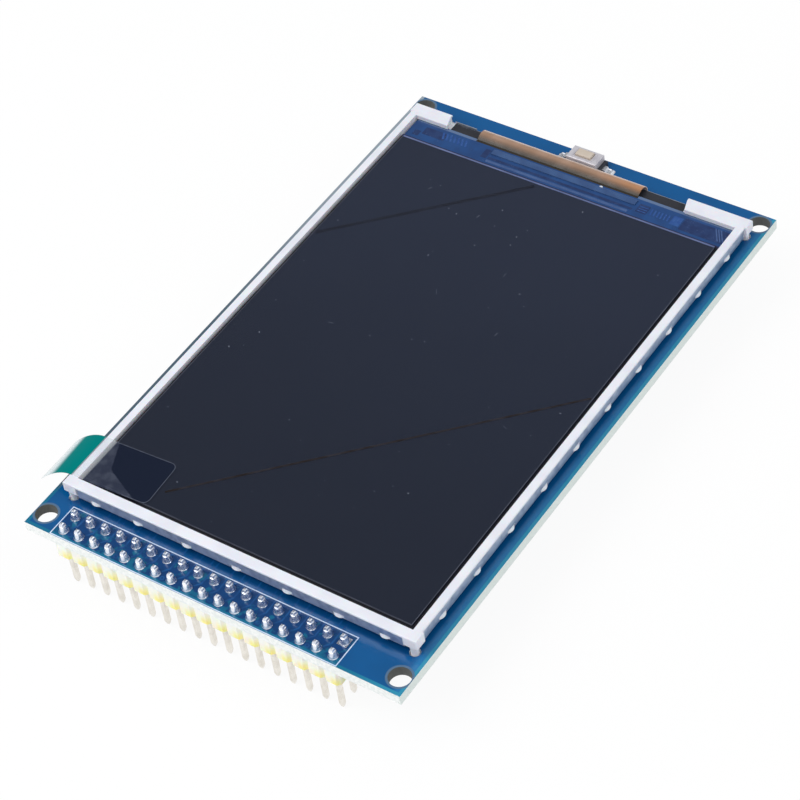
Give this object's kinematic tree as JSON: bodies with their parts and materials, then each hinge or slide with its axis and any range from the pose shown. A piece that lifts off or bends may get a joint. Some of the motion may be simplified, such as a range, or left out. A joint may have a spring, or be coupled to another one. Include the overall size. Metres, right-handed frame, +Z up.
{
  "type": "tft display module",
  "caption": "Colour TFT display in a white moulded frame on a blue carrier board, with a two-row pin header, reset switch and card socket.",
  "frame": {"origin": "centre of the four mounting holes on the board's underside", "axes": "+Z up through the display, out of the board's display side; +Y along the board from the pin header to the reset switch; +X to the right seen from above with the header nearest"},
  "size_m": [0.063, 0.0955, 0.0132],
  "materials": {
    "board": "satin",
    "header_plastic": "satin",
    "pin_metal": "satin",
    "solder": "gloss",
    "foam_tape": "matte",
    "tray_steel": "satin",
    "frame_plastic": "satin",
    "reflector": "gloss",
    "light_guide_acrylic": "gloss",
    "light_sheets": "matte",
    "diode": "gloss",
    "flex_amber": "satin",
    "black_tape": "matte",
    "polarizer": "gloss",
    "ledge_glass": "gloss",
    "screen_glass": "gloss",
    "chip_blue": "gloss",
    "gel_blue": "gloss",
    "screen_film": "gloss",
    "tab_green": "gloss",
    "black_moulding": "matte",
    "plunger_beige": "satin",
    "cover_metal": "satin",
    "shell_steel": "satin",
    "contact_gold": "gloss",
    "ic_black": "matte",
    "capacitor_tan": "satin",
    "resistor_black": "gloss"
  },
  "bodies": {
    "module": {"circuit_board": "board", "header_housing": "header_plastic", "header_pins": "pin_metal", "header_solder": "solder", "mounting_tape": "foam_tape", "metal_tray": "tray_steel", "mould_frame": "frame_plastic", "reflector_sheet": "reflector", "light_guide": "light_guide_acrylic", "diffuser_sheet": "light_sheets", "lower_prism_sheet": "light_sheets", "upper_prism_sheet": "light_sheets", "backlight_leds": "diode", "led_strip": "flex_amber", "rim_tape": "black_tape", "rear_polarizer": "polarizer", "rear_glass": "ledge_glass", "front_glass": "screen_glass", "front_polarizer": "polarizer", "driver_chip": "chip_blue", "sealing_gel": "gel_blue", "display_flex": "flex_amber", "back_tape": "black_tape", "protective_film": "screen_film", "pull_tab": "tab_green", "switch_base": "black_moulding", "switch_dome": "pin_metal", "switch_cover": "cover_metal", "switch_legs": "solder", "card_socket_base": "black_moulding", "card_socket_shell": "shell_steel", "card_socket_contacts": "contact_gold", "buffer_bodies": "ic_black", "buffer_legs_group": "solder", "regulator_body": "ic_black", "regulator_legs": "solder", "chip_capacitors": "capacitor_tan", "chip_resistors": "resistor_black", "chip_end_caps": "solder"},
    "reset_button": {"switch_plunger": "plunger_beige"}
  },
  "joints": [
    {"name": "reset_press", "type": "slide", "parent": "module", "child": "reset_button", "axis": [0, 0, -1], "range_m": [0, 0.00025], "stiffness_N_per_m": 3000, "deforming": ["switch_dome"]}
  ]
}
